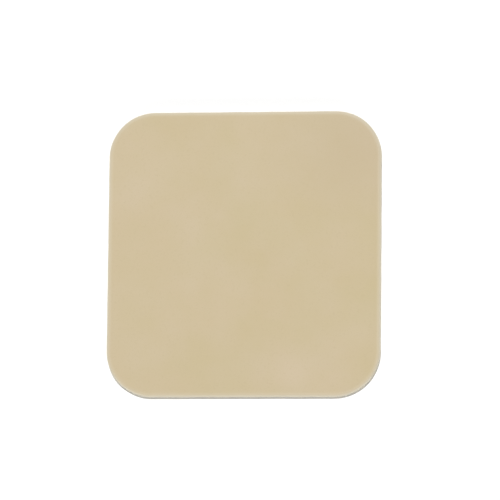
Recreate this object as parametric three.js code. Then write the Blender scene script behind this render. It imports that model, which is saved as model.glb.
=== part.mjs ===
// A hydrocolloid wound dressing: one soft, thin, opaque wafer with rounded corners.
//
// On the real dressing a tacky hydrocolloid mass and its thin outer skin are bonded over their
// whole face and cut out together, so the wafer is a single solid. The cut drags the skin down
// over the rim, which rounds the upper edge into a narrow shoulder. The side that faces the
// wound is flat.
//
// The wafer lies on its wound side. +Z points up through its thickness, +Y runs along its
// longer side, and the origin is the middle of the underside. All sizes are in millimetres.

import * as THREE from 'three';
import { toCreasedNormals } from 'three/addons/utils/BufferGeometryUtils.js';

// Overall size
const LENGTH = 100; // longer side, along Y
const WIDTH = 95.5; // shorter side, along X
const THICKNESS = 2; // between the two flat faces
const CORNER_RADIUS = 16; // of the four corners, seen from above

// Edge
const SHOULDER_REACH = 1; // how far in from the rim the rounded upper edge starts
const SHOULDER_DROP = 0.9; // how far the rounded upper edge falls before the rim stands upright
const HEEL = 0.2; // small chamfer where the knife leaves the underside

// Fineness of the faceted curves
const CORNER_STEPS = 24; // around each corner
const SHOULDER_STEPS = 8; // across the shoulder

// Finish
const SKIN_COLOUR = 0xd1c1a0; // matt beige
const SKIN_ROUGHNESS = 0.6;
const CREASE_ANGLE = THREE.MathUtils.degToRad(30); // sharper edges than this are shaded sharp

const QUARTER_TURN = Math.PI / 2;

// The centres of the four corner arcs, anticlockwise from the +X +Y corner. Every outline of
// the wafer, at any height, is drawn round these same four points.
const cornerCentres = [[1, 1], [-1, 1], [-1, -1], [1, -1]].map(([sideX, sideY]) => (
  new THREE.Vector2(sideX * (WIDTH / 2 - CORNER_RADIUS), sideY * (LENGTH / 2 - CORNER_RADIUS))
));

// The closed outline that lies a given inset inside the rim: four arcs joined by straight sides.
function outline(inset) {
  const radius = CORNER_RADIUS - inset;
  return cornerCentres.flatMap((centre, corner) => (
    Array.from({ length: CORNER_STEPS + 1 }, (_, step) => {
      const turn = QUARTER_TURN * (corner + step / CORNER_STEPS);
      return new THREE.Vector2(Math.cos(turn), Math.sin(turn)).multiplyScalar(radius).add(centre);
    })
  ));
}

// The section of the edge, from the underside to the top face: x is the inset from the rim and
// y the height. The heel is one straight cut, the rim stands upright above it, and the shoulder
// is a quarter of an ellipse.
function edgeSection() {
  const shoulder = Array.from({ length: SHOULDER_STEPS + 1 }, (_, step) => {
    const turn = QUARTER_TURN * (step / SHOULDER_STEPS);
    return new THREE.Vector2(
      SHOULDER_REACH * (1 - Math.cos(turn)),
      THICKNESS - SHOULDER_DROP * (1 - Math.sin(turn)),
    );
  });
  return [new THREE.Vector2(HEEL, 0), new THREE.Vector2(0, HEEL), ...shoulder];
}

// The skin between each pair of neighbouring outlines, as two triangles for each step round.
function bandTriangles(ringCount, ringLength) {
  const triangles = [];
  for (let ring = 0; ring < ringCount - 1; ring += 1) {
    for (let step = 0; step < ringLength; step += 1) {
      const next = (step + 1) % ringLength;
      const lower = ring * ringLength;
      const upper = lower + ringLength;
      triangles.push([lower + step, lower + next, upper + next]);
      triangles.push([lower + step, upper + next, upper + step]);
    }
  }
  return triangles;
}

// A flat face inside one outline, facing up: a fan in each corner round its arc centre, a
// rectangle along each side, and one large rectangle in the middle. firstRim is the first point
// of the outline, and firstCentre the first of the four arc centres.
function faceTriangles(firstRim, firstCentre) {
  const triangles = [];
  const perCorner = CORNER_STEPS + 1;
  const corners = cornerCentres.length;
  for (let corner = 0; corner < corners; corner += 1) {
    const centre = firstCentre + corner;
    const start = firstRim + corner * perCorner;
    for (let step = start; step < start + CORNER_STEPS; step += 1) {
      triangles.push([centre, step, step + 1]);
    }
    const nextCorner = (corner + 1) % corners;
    const nextCentre = firstCentre + nextCorner;
    const nextStart = firstRim + nextCorner * perCorner;
    triangles.push([centre, start + CORNER_STEPS, nextStart]);
    triangles.push([centre, nextStart, nextCentre]);
  }
  triangles.push([firstCentre, firstCentre + 1, firstCentre + 2]);
  triangles.push([firstCentre, firstCentre + 2, firstCentre + 3]);
  return triangles;
}

// The whole closed surface of the wafer.
function waferGeometry() {
  const section = edgeSection();
  const rings = section.map(({ x: inset, y: height }) => (
    outline(inset).map((point) => [point.x, point.y, height])
  ));
  const ringLength = rings[0].length;
  const underCentres = cornerCentres.map((centre) => [centre.x, centre.y, 0]);
  const topCentres = cornerCentres.map((centre) => [centre.x, centre.y, THICKNESS]);
  const points = [...rings.flat(), ...underCentres, ...topCentres];

  const firstUnderCentre = rings.length * ringLength;
  const firstTopCentre = firstUnderCentre + underCentres.length;
  const lastRing = (rings.length - 1) * ringLength;
  const underside = faceTriangles(0, firstUnderCentre).map((triangle) => triangle.reverse());
  const topFace = faceTriangles(lastRing, firstTopCentre);
  const triangles = [...bandTriangles(rings.length, ringLength), ...underside, ...topFace];

  const geometry = new THREE.BufferGeometry();
  geometry.setAttribute('position', new THREE.Float32BufferAttribute(points.flat(), 3));
  geometry.setIndex(triangles.flat());
  return toCreasedNormals(geometry, CREASE_ANGLE);
}

const wafer = new THREE.Mesh(
  waferGeometry(),
  new THREE.MeshStandardMaterial({
    color: SKIN_COLOUR,
    roughness: SKIN_ROUGHNESS,
    metalness: 0,
  }),
);
wafer.name = 'hydrocolloid_wafer';

const dressing = new THREE.Group();
dressing.add(wafer);

export default dressing;
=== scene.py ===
# %% [markdown]
# A hydrocolloid dressing is a soft, tacky wafer that is stuck over a wound. This one is about a
# hand's breadth across and 2 mm thick, with rounded corners. It has a thin matt skin on the
# outside and a pale, rubbery mass under it, and both were cut out with one stroke of a knife.
#
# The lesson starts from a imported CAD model, which fixes the size and the place of everything.
# Blender's part is the look: a finer surface over the same shape, and the finish of the skin and
# the mass. Loading the frame first means that nothing has to be fitted afterwards.

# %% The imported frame
import math

import bpy
import numpy as np
from mathutils import Matrix, Vector


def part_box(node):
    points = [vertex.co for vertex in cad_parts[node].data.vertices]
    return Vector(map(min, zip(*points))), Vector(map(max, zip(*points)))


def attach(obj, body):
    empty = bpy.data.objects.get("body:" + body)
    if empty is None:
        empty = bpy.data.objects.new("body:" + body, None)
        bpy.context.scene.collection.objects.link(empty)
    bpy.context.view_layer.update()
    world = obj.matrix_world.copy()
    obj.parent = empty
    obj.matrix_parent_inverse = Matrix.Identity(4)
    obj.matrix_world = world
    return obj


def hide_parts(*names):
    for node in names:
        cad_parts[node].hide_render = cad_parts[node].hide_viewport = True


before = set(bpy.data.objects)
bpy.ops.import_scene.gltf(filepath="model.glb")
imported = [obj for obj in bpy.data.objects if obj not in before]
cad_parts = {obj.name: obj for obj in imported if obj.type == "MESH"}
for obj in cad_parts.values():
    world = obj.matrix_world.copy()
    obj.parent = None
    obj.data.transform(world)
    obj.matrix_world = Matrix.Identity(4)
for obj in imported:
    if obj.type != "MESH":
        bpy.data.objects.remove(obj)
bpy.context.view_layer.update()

MM = 0.001

# %% [markdown]
# The wafer lies on its adhesive side, so the camera looks down on it. It doesn't look quite
# straight down: it stands a little towards the lower right of the wafer, so that the lower and
# right-hand edges show their thickness as a thin line. A long lens from far away keeps opposite
# edges nearly parallel.
#
# The camera could be aimed with a Track To constraint. Building its rotation from three named
# angles is plainer, because each angle can be read off and changed by itself.

# %% The camera
LENS_MM = 310.9
CAMERA_DISTANCE = 1.5
LEAN = math.radians(8.18)  # how far the camera stands below the wafer's middle
ASIDE = math.radians(6.69)  # how far it stands to the right
ROLL = math.radians(-0.6)
AIM = Vector((2.03 * MM, 1.35 * MM, 0))  # how far the wafer lies left of and below the middle

turn = (
    Matrix.Rotation(ROLL, 3, "Z")
    @ Matrix.Rotation(-LEAN, 3, "X")
    @ Matrix.Rotation(-ASIDE, 3, "Y")
)
wafer_low, wafer_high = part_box("hydrocolloid_wafer")
mid_rim = Vector((0, 0, (wafer_low.z + wafer_high.z) / 2))

camera_data = bpy.data.cameras.new("camera")
camera_data.lens = LENS_MM
camera_data.sensor_width = 36.0
camera_data.clip_end = 50.0
camera = bpy.data.objects.new("camera", camera_data)
bpy.context.scene.collection.objects.link(camera)
place = turn.transposed() @ (Vector((0, 0, CAMERA_DISTANCE)) + AIM) + mid_rim
camera.matrix_world = Matrix.Translation(place) @ turn.transposed().to_4x4()
bpy.context.scene.camera = camera
print("camera stands at", [round(value, 3) for value in place], "m")

# %% [markdown]
# The floor is one large pale sheet, and the light is plain. Most of it comes from high above the
# top edge with little spread, so the wafer's thickness throws a thin dark line along the bottom
# edge. Two weak lights close to the floor in front brighten the rounded bottom edge. They are so
# low that they add little to the floor, so the dark line stays dark.
#
# Softboxes near the wafer would light it unevenly and fade over the floor. A sun lamp is the same
# as a large softbox a long way off: the light is even everywhere, and the lamp's angle alone sets
# how soft the shadows are.

# %% The floor
FLOOR_SIDE = 40.0
FLOOR_COLOUR = (0.97, 0.97, 0.97, 1.0)

corners = np.array([[-1, -1, 0], [1, -1, 0], [1, 1, 0], [-1, 1, 0]]) * FLOOR_SIDE / 2
floor_mesh = bpy.data.meshes.new("floor")
floor_mesh.from_pydata(corners.tolist(), [], [(0, 1, 2, 3)])
floor = bpy.data.objects.new("floor", floor_mesh)
bpy.context.scene.collection.objects.link(floor)

floor_finish = bpy.data.materials.new("pale_floor")
floor_finish.use_nodes = True
floor_shader = floor_finish.node_tree.nodes["Principled BSDF"]
floor_shader.inputs["Base Color"].default_value = FLOOR_COLOUR
floor_shader.inputs["Roughness"].default_value = 0.9
floor_shader.inputs["Specular IOR Level"].default_value = 0.1
floor_mesh.materials.append(floor_finish)
print("the floor is", FLOOR_SIDE, "m on each side")

# %% The lights
def soft_light(name, heading, elevation, spread, level):
    """A sun lamp. Its heading is anticlockwise from +X, its spread is the angle that it fills,
    and its level is the brightness that it alone gives a white floor: the lamp's strength is pi
    times the level over the sine of the elevation. All angles are in degrees."""
    data = bpy.data.lights.new(name, "SUN")
    data.angle = math.radians(spread)
    data.energy = math.pi * level / math.sin(math.radians(elevation))
    lamp = bpy.data.objects.new(name, data)
    bpy.context.scene.collection.objects.link(lamp)
    lamp.rotation_euler = (0, math.radians(90 - elevation), math.radians(heading))
    return lamp


soft_light("main", heading=92, elevation=65, spread=3, level=0.79)
soft_light("front_left", heading=-128, elevation=9, spread=14, level=0.054)
soft_light("front_right", heading=-52, elevation=9, spread=14, level=0.048)

# %% The room's own light
ROOM_LEVEL = 0.22  # what the room adds to the light; the camera itself sees it as plain white

world = bpy.data.worlds.new("studio")
world.use_nodes = True
room = world.node_tree.nodes["Background"]
room.inputs["Color"].default_value = (1, 1, 1, 1)
seen_directly = world.node_tree.nodes.new("ShaderNodeLightPath").outputs["Is Camera Ray"]
brightness = world.node_tree.nodes.new("ShaderNodeMapRange")
brightness.inputs["To Min"].default_value = ROOM_LEVEL
brightness.inputs["To Max"].default_value = 1.0
world.node_tree.links.new(seen_directly, brightness.inputs["Value"])
world.node_tree.links.new(brightness.outputs["Result"], room.inputs["Strength"])
bpy.context.scene.world = world
bpy.context.scene.view_settings.view_transform = "Standard"
print("the room's level is", ROOM_LEVEL)

# %% [markdown]
# The wafer's outline is a rectangle with rounded corners. Every level of the edge is the same
# outline drawn a little smaller, round the same four corner centres, so one function can serve
# the whole piece: it says where a walk round the outline has got to, at a given inset.
#
# The walk is cut into four sides, each from the middle of one corner to the middle of the next.
# That gives four equal rows of points, which fit the four sides of a square grid later on.

# %% The outline
half_width = (wafer_high.x - wafer_low.x) / 2
half_length = (wafer_high.y - wafer_low.y) / 2
thickness = wafer_high.z - wafer_low.z
CORNER_RADIUS = 16 * MM
POINTS_PER_SIDE = 160


def outline_point(side, along, inset):
    """Where a walk round the outline has got to, as arrays of x and y.

    side is 0 to 3, anticlockwise from the +X side, and along runs from -1 to 1 on each. The
    middle of a side is straight. Past it the point turns about the corner's centre, by the
    distance walked over the corner radius, at the corner radius less the inset."""
    crosswise = side % 2 == 0
    out_to_centre = np.where(crosswise, half_width, half_length) - CORNER_RADIUS
    straight = np.where(crosswise, half_length, half_width) - CORNER_RADIUS
    walked = along * (straight + CORNER_RADIUS * math.pi / 4)
    turned = np.clip(np.abs(walked) - straight, 0, None) / CORNER_RADIUS
    radius = CORNER_RADIUS - inset
    out = out_to_centre + radius * np.cos(turned)
    forward = np.clip(walked, -straight, straight) + np.sign(walked) * radius * np.sin(turned)
    facing = side * math.pi / 2
    x = out * np.cos(facing) - forward * np.sin(facing)
    y = out * np.sin(facing) + forward * np.cos(facing)
    return x, y


steps = np.arange(4 * POINTS_PER_SIDE)
ring_side = steps // POINTS_PER_SIDE
ring_along = 2 * (steps % POINTS_PER_SIDE) / POINTS_PER_SIDE - 1
rim_x, rim_y = outline_point(ring_side, ring_along, 0.0)
gaps = np.hypot(np.diff(rim_x), np.diff(rim_y))
print("points round the rim:", len(steps), "spaced", round(gaps.mean() / MM, 2), "mm")

# %% [markdown]
# Seen in section, the edge tells how the dressing was cut. The knife left the underside with a
# small rounded heel. Above it stands the bare mass, which bulges a little because it is soft and
# keeps creeping. The skin ends in a thin lip halfway up, because the knife dragged it down over
# the edge, and from there it curves over a 1 mm shoulder on to the flat top.
#
# A Bevel modifier would round the edge evenly. A section written down as inset and height keeps
# the heel, the bulge, the lip and the shoulder each at its own size.

# %% The section of the edge
SHOULDER_REACH = 1.0 * MM
SHOULDER_DROP = 0.9 * MM
HEEL = 0.2 * MM
SKIN_STEP = 0.04 * MM  # how far the skin's cut lip stands out from the bare mass
BULGE = 0.03 * MM
HEEL_POINTS, WALL_POINTS, SHOULDER_POINTS = 5, 7, 15
LIP_DEPTH = 2.0 * SKIN_STEP  # the bare mass ends this far below the lip's height
LIP_INSET, LIP_FALL = 0.25 * SKIN_STEP, 1.6 * SKIN_STEP  # of the one point on the lip's cut end

quarter = np.linspace(0, math.pi / 2, HEEL_POINTS)
heel = np.stack([HEEL * (1 - np.sin(quarter)), HEEL * (1 - np.cos(quarter))], axis=1)
heel[:, 0] += SKIN_STEP

lip_height = thickness - SHOULDER_DROP
wall_share = np.linspace(0, 1, WALL_POINTS + 1)[1:]
wall_height = HEEL + wall_share * (lip_height - LIP_DEPTH - HEEL)
wall = np.stack([SKIN_STEP - BULGE * np.sin(math.pi * wall_share), wall_height], axis=1)

lip = np.array([[LIP_INSET, lip_height - LIP_FALL]])
over = np.linspace(0, math.pi / 2, SHOULDER_POINTS)
shoulder = np.stack(
    [SHOULDER_REACH * (1 - np.cos(over)), thickness - SHOULDER_DROP * (1 - np.sin(over))], axis=1
)
section = np.concatenate([heel, wall, lip, shoulder])
first_skin_level = len(heel) + len(wall)
print("levels of the edge:", len(section), "the skin starts at level", first_skin_level)

# %% [markdown]
# Nothing soft is quite flat or straight. The skin rises and sinks by a few hundredths of a
# millimetre, in broad swells from the way the mass was rolled and in small ones from its grain.
# The rim wavers a little where the knife passed.
#
# Blender's noise textures could push the surface about in a modifier. Adding up plane waves
# makes the same kind of relief with numpy alone, and its size comes out exactly as asked.

# %% Swells and ripples
LENGTH_SHARES = (0.75, 1.35)  # the shortest and the longest wave, as shares of the one asked for
ROUNDS_SHARES = (0.6, 1.5)  # the fewest and the most turns, in the same way


def swell(x, y, wavelength, seed, waves=14):
    """A gentle relief over the plane, between about -2 and 2: the sum of plane waves of nearly
    equal length that run in random directions from random starts, over the root of half their
    number."""
    random = np.random.default_rng(seed)
    heading = random.uniform(0, 2 * math.pi, waves)
    start = random.uniform(0, 2 * math.pi, waves)
    rate = 2 * math.pi / (wavelength * random.uniform(*LENGTH_SHARES, waves))
    phase = (
        np.multiply.outer(x, rate * np.cos(heading))
        + np.multiply.outer(y, rate * np.sin(heading))
        + start
    )
    return np.sin(phase).sum(-1) / math.sqrt(waves / 2)


def ripple(share, turns, seed, waves=9):
    """A wavering round the rim, between about -2 and 2: the sum of waves that each go a whole
    number of times round, near the number of turns asked for, so that the ends meet."""
    random = np.random.default_rng(seed)
    fewest, most = (int(share_of_turns * turns) for share_of_turns in ROUNDS_SHARES)
    rounds = random.integers(fewest, most, waves)
    start = random.uniform(0, 2 * math.pi, waves)
    phase = np.multiply.outer(share, 2 * math.pi * rounds) + start
    return np.sin(phase).sum(-1) / math.sqrt(waves / 2)


BROAD_SWELL, FINE_SWELL = 0.020 * MM, 0.0025 * MM
BROAD_WAVELENGTH, FINE_WAVELENGTH = 30 * MM, 4.5 * MM
SLOW_RIPPLE, QUICK_RIPPLE = 0.018 * MM, 0.004 * MM
SLOW_TURNS, QUICK_TURNS = 24, 130


def skin_relief(x, y):
    """The height of the skin above its mean level: the broad swell plus the fine one."""
    broad = BROAD_SWELL * swell(x, y, BROAD_WAVELENGTH, seed=3)
    fine = FINE_SWELL * swell(x, y, FINE_WAVELENGTH, seed=4, waves=24)
    return broad + fine


share_round = steps / len(steps)
rim_wavering = SLOW_RIPPLE * ripple(share_round, SLOW_TURNS, seed=5)
rim_wavering = rim_wavering + QUICK_RIPPLE * ripple(share_round, QUICK_TURNS, seed=6)
print("the rim wavers by", round(np.abs(rim_wavering).max() / MM, 3), "mm at most")

# %% [markdown]
# The edge is the section carried round the outline. The flat faces could close it as fans round
# a middle point, but hundreds of thin triangles would meet there and catch the light. A square
# grid whose rings shrink from the outline to the middle has no such pole, and its outer ring
# has the same points as the edge, so the two are welded without a seam.

# %% The edge, the top and the underside
def edge_band():
    """The section carried round the outline, as arrays of x, y, z over level and step. The
    wavering fades towards the flat faces, and the skin's relief comes in up the shoulder."""
    inset = section[:, 0][:, None]
    height = section[:, 1][:, None]
    near_rim = np.clip(1 - inset / SHOULDER_REACH, 0, 1) * np.clip(height / HEEL, 0, 1)
    x, y = outline_point(ring_side[None, :], ring_along[None, :], inset - rim_wavering * near_rim)
    up_shoulder = np.clip((height - lip_height) / SHOULDER_DROP, 0, 1)
    z = height + up_shoulder * (skin_relief(x, y) - highest_relief)
    return x, y, z


def face_grid(inset):
    """A square grid fitted inside the outline at an inset, as arrays of x and y. A grid point's
    ring is its larger distance from the middle along either axis, from 0 to 1, and the point is
    that share of the way out to the outline, as far along its side as it is along its ring."""
    line = np.linspace(-1, 1, POINTS_PER_SIDE + 1)
    across, up = np.meshgrid(line, line)
    ring = np.maximum(np.abs(across), np.abs(up))
    safe = np.where(ring > 0, ring, 1)
    beside = np.abs(across) >= np.abs(up)
    side = np.select([beside & (across > 0), ~beside & (up > 0), beside], [0, 1, 2], 3)
    along = np.choose(side, [up, -across, -up, across]) / safe
    x, y = outline_point(side, along, inset)
    return x * ring, y * ring


highest_relief = skin_relief(*face_grid(0.0)).max()
band_x, band_y, band_z = edge_band()
top_x, top_y = face_grid(section[-1, 0])
top_z = thickness + skin_relief(top_x, top_y) - highest_relief
under_x, under_y = face_grid(section[0, 0])
under_z = np.zeros_like(under_x)
print("the top face varies by", round(np.ptp(top_z) / MM, 3), "mm")

# %% [markdown]
# The three sheets of points become one mesh. Each is a grid, so its faces are found by the same
# rule, and the shared rows are merged afterwards. Everything below the skin's lip gets the second
# material, the bare mass. The surface also keeps a number at each point for the skin's finish to
# read: how near the point is to the rim.

# %% One closed mesh
RIM_BAND = 2.2 * MM


def grid_faces(rows, columns, first, closed=False):
    """The corner numbers of the quads between neighbouring rows of a grid of points, wound
    anticlockwise when the rows run up and the columns run right. In a closed grid the last
    column is joined to the first."""
    row = np.arange(rows - 1)[:, None]
    column = np.arange(columns if closed else columns - 1)[None, :]
    next_column = (column + 1) % columns
    lower, upper = first + row * columns, first + (row + 1) * columns
    quads = [lower + column, lower + next_column, upper + next_column, upper + column]
    return np.stack(quads, axis=-1).reshape(-1, 4)


def rim_nearness(x, y):
    """1 on the rim and 0 from the rim band's width inwards: the distance to the outline is the
    corner radius less how far the point lies past the rectangle of the corner centres."""
    past_x = np.clip(np.abs(x) - (half_width - CORNER_RADIUS), 0, None)
    past_y = np.clip(np.abs(y) - (half_length - CORNER_RADIUS), 0, None)
    return np.clip(1 - (CORNER_RADIUS - np.hypot(past_x, past_y)) / RIM_BAND, 0, 1)


sheets = [(band_x, band_y, band_z), (top_x, top_y, top_z), (under_x, under_y, under_z)]
points = np.concatenate([np.stack(sheet, axis=-1).reshape(-1, 3) for sheet in sheets])
levels, around, per_row = len(section), len(steps), POINTS_PER_SIDE + 1
band_faces = grid_faces(levels, around, 0, closed=True)
top_faces = grid_faces(per_row, per_row, levels * around)
under_faces = grid_faces(per_row, per_row, levels * around + per_row ** 2)[:, ::-1]
quads = np.concatenate([band_faces, top_faces, under_faces])

level_of_face = np.repeat(np.arange(levels - 1), around)
bare = np.concatenate([
    level_of_face < first_skin_level,
    np.zeros(len(top_faces), bool),
    np.ones(len(under_faces), bool),
])

wafer_mesh = bpy.data.meshes.new("dressing_wafer")
wafer_mesh.from_pydata(points.tolist(), [], quads.tolist())
wafer_mesh.polygons.foreach_set("material_index", bare.astype(np.int32))
nearness = wafer_mesh.attributes.new("rim_nearness", "FLOAT", "POINT")
nearness.data.foreach_set("value", rim_nearness(points[:, 0], points[:, 1]).astype(np.float32))
print("points before welding:", len(points), "of them on the edge:", levels * around)

# %% Welding the sheets
import bmesh

WELD_WITHIN = 0.0002 * MM
SHARPER_THAN = math.radians(35)

welder = bmesh.new()
welder.from_mesh(wafer_mesh)
bmesh.ops.remove_doubles(welder, verts=welder.verts, dist=WELD_WITHIN)
open_edges = sum(1 for edge in welder.edges if len(edge.link_faces) != 2)
welder.to_mesh(wafer_mesh)
welder.free()
wafer_mesh.shade_smooth()
wafer_mesh.set_sharp_from_angle(angle=SHARPER_THAN)
print("faces:", len(wafer_mesh.polygons), "open edges:", open_edges)

wafer = bpy.data.objects.new("dressing_wafer", wafer_mesh)
bpy.context.scene.collection.objects.link(wafer)

# %% [markdown]
# Both finishes need the same two effects: a tone that drifts from place to place, and a fine
# grain. Each is a node group with its own inputs, built once, so the skin and the mass can use
# it with their own sizes and strengths.
#
# A picture could be wrapped over the wafer instead. Noise that reads the object's own
# coordinates needs no unwrapping, has no seam at the edge and keeps its size in millimetres.

# %% Helpers for node groups
def new_group(name, inputs, outputs):
    """An empty shader node group with named sockets, given as pairs of name and kind."""
    group = bpy.data.node_groups.new(name, "ShaderNodeTree")
    for socket, kind in inputs:
        group.interface.new_socket(socket, in_out="INPUT", socket_type=f"NodeSocket{kind}")
    for socket, kind in outputs:
        group.interface.new_socket(socket, in_out="OUTPUT", socket_type=f"NodeSocket{kind}")
    return group, group.nodes.new("NodeGroupInput"), group.nodes.new("NodeGroupOutput")


def add_math(tree, operation, *values, clamp=False):
    """A Math node on sockets or plain numbers, and its result."""
    node = tree.nodes.new("ShaderNodeMath")
    node.operation = operation
    node.use_clamp = clamp
    for slot, value in zip(node.inputs, values):
        if isinstance(value, bpy.types.NodeSocket):
            tree.links.new(value, slot)
        else:
            slot.default_value = value
    return node.outputs[0]


def add_noise(tree, vector, scale, detail=2.0, roughness=0.5):
    """A Noise Texture read at a vector, and its value from 0 to 1."""
    node = tree.nodes.new("ShaderNodeTexNoise")
    node.inputs["Detail"].default_value = detail
    node.inputs["Roughness"].default_value = roughness
    tree.links.new(vector, node.inputs["Vector"])
    if isinstance(scale, bpy.types.NodeSocket):
        tree.links.new(scale, node.inputs["Scale"])
    else:
        node.inputs["Scale"].default_value = scale
    return node.outputs["Fac"]


def moved(tree, vector, distance):
    """A vector with a fixed distance added to it."""
    node = tree.nodes.new("ShaderNodeVectorMath")
    node.inputs[1].default_value = distance
    tree.links.new(vector, node.inputs[0])
    return node.outputs[0]


def scaled(tree, vector, scale):
    """A vector with each of its parts times its own scale."""
    node = tree.nodes.new("ShaderNodeVectorMath")
    node.operation = "MULTIPLY"
    node.inputs[1].default_value = scale
    tree.links.new(vector, node.inputs[0])
    return node.outputs[0]


# %% The drifting tone
THINNESS_START = (-0.44, -0.03, 0.96)  # where in its endless field each noise is read, in m
PINKNESS_START = (0.31, -0.17, 0.05)
SPREAD, SHIFT = 4.0, -2.0  # a noise keeps to about 0.25 to 0.75, and these make it -1 to 1
BLUE_DRIFT = 3.8  # how many times as much as red and green the blue drifts


def make_drifting_tone():
    """A colour that drifts in cloudy patches, and says how thick the film is there.

    Two noises run from about -1 to 1. Where the first is high the film is thin, and the colour
    is lighter and paler: times one plus the drift, and in blue one plus almost four times it.
    Where the second is high the colour is pinker, with more red and less green."""
    group, given, result = new_group(
        "drifting_tone",
        [("Vector", "Vector"), ("Colour", "Color"), ("Patches per metre", "Float"),
         ("Paleness drift", "Float"), ("Pinkness drift", "Float")],
        [("Colour", "Color"), ("Thinness", "Float")],
    )
    vector = given.outputs["Vector"]
    per_metre = given.outputs["Patches per metre"]
    thin_place = moved(group, vector, THINNESS_START)
    thin_field = add_noise(group, thin_place, per_metre, detail=4.0, roughness=0.6)
    thin = add_math(group, "MULTIPLY_ADD", thin_field, SPREAD, SHIFT)
    pink_place = moved(group, vector, PINKNESS_START)
    pink_field = add_noise(group, pink_place, per_metre, detail=3.0, roughness=0.6)
    pink = add_math(group, "MULTIPLY_ADD", pink_field, SPREAD, SHIFT)

    paler = add_math(group, "MULTIPLY", thin, given.outputs["Paleness drift"])
    pinker = add_math(group, "MULTIPLY", pink, given.outputs["Pinkness drift"])
    tint = group.nodes.new("ShaderNodeCombineXYZ")
    red = add_math(group, "ADD", add_math(group, "ADD", paler, pinker), 1.0)
    green = add_math(group, "ADD", add_math(group, "SUBTRACT", paler, pinker), 1.0)
    blue = add_math(group, "MULTIPLY_ADD", paler, BLUE_DRIFT, 1.0)
    for value, slot in zip((red, green, blue), tint.inputs):
        group.links.new(value, slot)
    tinted = group.nodes.new("ShaderNodeVectorMath")
    tinted.operation = "MULTIPLY"
    group.links.new(given.outputs["Colour"], tinted.inputs[0])
    group.links.new(tint.outputs[0], tinted.inputs[1])
    group.links.new(tinted.outputs[0], result.inputs["Colour"])
    group.links.new(thin, result.inputs["Thinness"])
    return group


drifting_tone = make_drifting_tone()
print("nodes in the drifting tone:", len(drifting_tone.nodes))

# %% The fine grain
GRIT_FINENESS = 3.0  # the grit's scale, next to the pimples'
GRIT_SHARE = 0.35  # its height, next to theirs
FLECK_FINENESS = 0.7  # the flecks' scale, next to the pimples'
FLECK_LEVEL = 0.62  # where in the noise a fleck begins
FLECK_STEEPNESS = 8.0  # how fast it then grows to a full fleck


def make_fine_grain():
    """Small rounded pimples with finer grit on them: the height is a soft noise plus a share of
    one three times as fine, and the flecks are the peaks of a third noise, from 0 to 1."""
    group, given, result = new_group(
        "fine_grain",
        [("Vector", "Vector"), ("Grains per metre", "Float")],
        [("Height", "Float"), ("Flecks", "Float")],
    )
    vector = given.outputs["Vector"]
    per_metre = given.outputs["Grains per metre"]
    pimples = add_noise(group, vector, per_metre, detail=1.0)
    grit_scale = add_math(group, "MULTIPLY", per_metre, GRIT_FINENESS)
    grit = add_noise(group, vector, grit_scale, detail=2.0)
    height = add_math(group, "ADD", pimples, add_math(group, "MULTIPLY", grit, GRIT_SHARE))
    group.links.new(height, result.inputs["Height"])

    spot_scale = add_math(group, "MULTIPLY", per_metre, FLECK_FINENESS)
    spots = add_noise(group, vector, spot_scale, detail=0.0)
    above = add_math(group, "SUBTRACT", spots, FLECK_LEVEL)
    peaks = add_math(group, "MULTIPLY", above, FLECK_STEEPNESS, clamp=True)
    group.links.new(peaks, result.inputs["Flecks"])
    return group


fine_grain = make_fine_grain()
print("node groups:", [group.name for group in bpy.data.node_groups])

# %% [markdown]
# The skin is a thin, opaque polyurethane film, pale beige. It is matt with a low, even sheen, and
# its colour drifts so slightly that it is seen more than noticed. Where the knife stretched it
# over the shoulder it is thinner, and the pale mass lightens it. Painted light lies over the left
# side and painted shade over the top right corner, and a small place near the bottom edge is
# paler.
#
# The mass is a cream-coloured rubber full of fine powder that soaks up water. It is a shade
# glossier than the skin, because it is tacky, and light goes a little way into it. The knife
# dragged its grain into fine upright marks along the cut edge. They could be cut into the mesh,
# but they are far finer than its faces, so they are a bump.

# %% Helpers for the finishes
def place_group(tree, group, **values):
    """A node group in a material, with its unlinked inputs set by name."""
    node = tree.nodes.new("ShaderNodeGroup")
    node.node_tree = group
    for name, value in values.items():
        node.inputs[name.replace("_", " ")].default_value = value
    return node


MIX_SHARE, MIX_FIRST, MIX_SECOND = 0, 6, 7  # a Mix node's inputs when it works on colours
MIX_RESULT = 2


def mix_colour(tree, share, first, second):
    """A Mix node on colours. Each may be a socket or a plain colour."""
    node = tree.nodes.new("ShaderNodeMix")
    node.data_type = "RGBA"
    for number, value in ((MIX_SHARE, share), (MIX_FIRST, first), (MIX_SECOND, second)):
        if isinstance(value, bpy.types.NodeSocket):
            tree.links.new(value, node.inputs[number])
        else:
            node.inputs[number].default_value = value
    return node.outputs[MIX_RESULT]


def bumped(tree, height, distance):
    """A Bump node on a height from 0 to 1, of a real distance in metres."""
    node = tree.nodes.new("ShaderNodeBump")
    node.inputs["Distance"].default_value = distance
    tree.links.new(height, node.inputs["Height"])
    return node.outputs["Normal"]


# %% Soft spots on the skin, and painted light and shade
def soft_spot(tree, place, centre, reach):
    """1 at a centre on the face, falling smoothly to 0 on an ellipse round it, whose half widths
    are the reach: the distance is the length of x and y over the reach in each direction."""
    from_centre = moved(tree, place, (-centre[0] * MM, -centre[1] * MM, 0))
    distance = tree.nodes.new("ShaderNodeVectorMath")
    distance.operation = "LENGTH"
    in_reaches = scaled(tree, from_centre, (1 / (reach[0] * MM), 1 / (reach[1] * MM), 0))
    tree.links.new(in_reaches, distance.inputs[0])
    fall = tree.nodes.new("ShaderNodeMapRange")
    fall.interpolation_type = "SMOOTHSTEP"
    fall.inputs["From Min"].default_value = 1.0
    fall.inputs["From Max"].default_value = 0.0
    tree.links.new(distance.outputs["Value"], fall.inputs["Value"])
    return fall.outputs["Result"]


# A paler tone, and a darker one that is painted shade, for the spots below.
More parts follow.
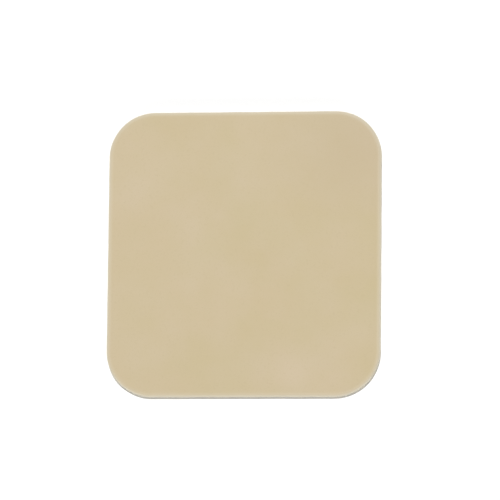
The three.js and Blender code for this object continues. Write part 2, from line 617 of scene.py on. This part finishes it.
PALER_COLOUR = (0.578, 0.472, 0.324, 1.0)
PAINTED_SHADE_COLOUR = (0.506, 0.408, 0.264, 1.0)
PALE_SPOT_AND_PAINTED_LIGHT = [  # centre and reach in mm, how strong it is, and the colour it turns to
    # a small paler place near the bottom edge
    ((17, -42), (11, 8), 0.60, PALER_COLOUR),
    # painted light over the left side
    ((-50, 0), (40, 75), 0.25, PALER_COLOUR),
    # painted shade over the top right corner
    ((42, 40), (45, 38), 0.60, PAINTED_SHADE_COLOUR),
]
print("soft spots:", len(PALE_SPOT_AND_PAINTED_LIGHT))

# %% The outer skin
SKIN_COLOUR = (0.5425, 0.4445, 0.2755, 1.0)
STRETCHED_COLOUR = (0.66, 0.61, 0.49, 1.0)
FLECK_COLOUR = (0.495, 0.40, 0.242, 1.0)
FLECK_STRENGTH = 0.25
STRETCH_POWER = 2.6  # how closely the stretched tone keeps to the rim
SKIN_ROUGHNESS = 0.55
THIN_GLOSS, STRETCHED_GLOSS = -0.03, -0.12  # what thin and stretched film add to the roughness
SKIN_GRAIN_HEIGHT = 0.012 * MM


def make_skin():
    """The outer skin's material."""
    material = bpy.data.materials.new("outer_skin")
    material.use_nodes = True
    tree = material.node_tree
    shader = tree.nodes["Principled BSDF"]
    place = tree.nodes.new("ShaderNodeTexCoord").outputs["Object"]

    tone = place_group(tree, drifting_tone, Colour=SKIN_COLOUR, Patches_per_metre=40.0,
                       Paleness_drift=0.021, Pinkness_drift=0.006)
    grain = place_group(tree, fine_grain, Grains_per_metre=2600.0)
    tree.links.new(place, tone.inputs["Vector"])
    tree.links.new(place, grain.inputs["Vector"])

    film = tone.outputs["Colour"]
    # The spots paint light over the left side and shade over the top right corner, and make a
    # small place near the bottom edge paler.
    for centre, reach, strength, spot_colour in PALE_SPOT_AND_PAINTED_LIGHT:
        spot = soft_spot(tree, place, centre, reach)
        film = mix_colour(tree, add_math(tree, "MULTIPLY", spot, strength), film, spot_colour)

    near = tree.nodes.new("ShaderNodeAttribute")
    near.attribute_name = "rim_nearness"
    stretched = add_math(tree, "POWER", near.outputs["Fac"], STRETCH_POWER)
    fleck_share = add_math(tree, "MULTIPLY", grain.outputs["Flecks"], FLECK_STRENGTH)
    flecked = mix_colour(tree, fleck_share, film, FLECK_COLOUR)
    colour = mix_colour(tree, stretched, flecked, STRETCHED_COLOUR)
    tree.links.new(colour, shader.inputs["Base Color"])

    thinness = tone.outputs["Thinness"]
    matt = add_math(tree, "MULTIPLY_ADD", thinness, THIN_GLOSS, SKIN_ROUGHNESS)
    roughness = add_math(tree, "MULTIPLY_ADD", stretched, STRETCHED_GLOSS, matt)
    tree.links.new(roughness, shader.inputs["Roughness"])
    shader.inputs["Specular IOR Level"].default_value = 0.35
    normal = bumped(tree, grain.outputs["Height"], SKIN_GRAIN_HEIGHT)
    tree.links.new(normal, shader.inputs["Normal"])
    return material


# %% The bare mass
MASS_COLOUR = (0.70, 0.63, 0.47, 1.0)
POWDER_COLOUR = (0.60, 0.50, 0.33, 1.0)
POWDER_STRENGTH = 0.25
DRAWN_UPRIGHT = (1, 1, 0.2)  # the grain is read slower up the edge, which draws it out that way
MASS_GRAIN_HEIGHT = 0.02 * MM


def make_mass():
    """The hydrocolloid mass's material, on the cut edge and the underside."""
    material = bpy.data.materials.new("bare_mass")
    material.use_nodes = True
    tree = material.node_tree
    shader = tree.nodes["Principled BSDF"]
    place = tree.nodes.new("ShaderNodeTexCoord").outputs["Object"]

    tone = place_group(tree, drifting_tone, Colour=MASS_COLOUR, Patches_per_metre=70.0,
                       Paleness_drift=0.02, Pinkness_drift=0.005)
    grain = place_group(tree, fine_grain, Grains_per_metre=4000.0)
    tree.links.new(place, tone.inputs["Vector"])
    tree.links.new(scaled(tree, place, DRAWN_UPRIGHT), grain.inputs["Vector"])
    powder_share = add_math(tree, "MULTIPLY", grain.outputs["Flecks"], POWDER_STRENGTH)
    colour = mix_colour(tree, powder_share, tone.outputs["Colour"], POWDER_COLOUR)
    tree.links.new(colour, shader.inputs["Base Color"])
    shader.inputs["Roughness"].default_value = 0.38
    shader.inputs["Subsurface Weight"].default_value = 0.25
    shader.inputs["Subsurface Radius"].default_value = (1.0, 0.7, 0.4)
    shader.inputs["Subsurface Scale"].default_value = 1.5 * MM
    normal = bumped(tree, grain.outputs["Height"], MASS_GRAIN_HEIGHT)
    tree.links.new(normal, shader.inputs["Normal"])
    return material


wafer_mesh.materials.append(make_skin())
wafer_mesh.materials.append(make_mass())
print("materials:", [material.name for material in wafer_mesh.materials])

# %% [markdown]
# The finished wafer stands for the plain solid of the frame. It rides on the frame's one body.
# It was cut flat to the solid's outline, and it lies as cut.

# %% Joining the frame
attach(wafer, "root")
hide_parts("hydrocolloid_wafer")
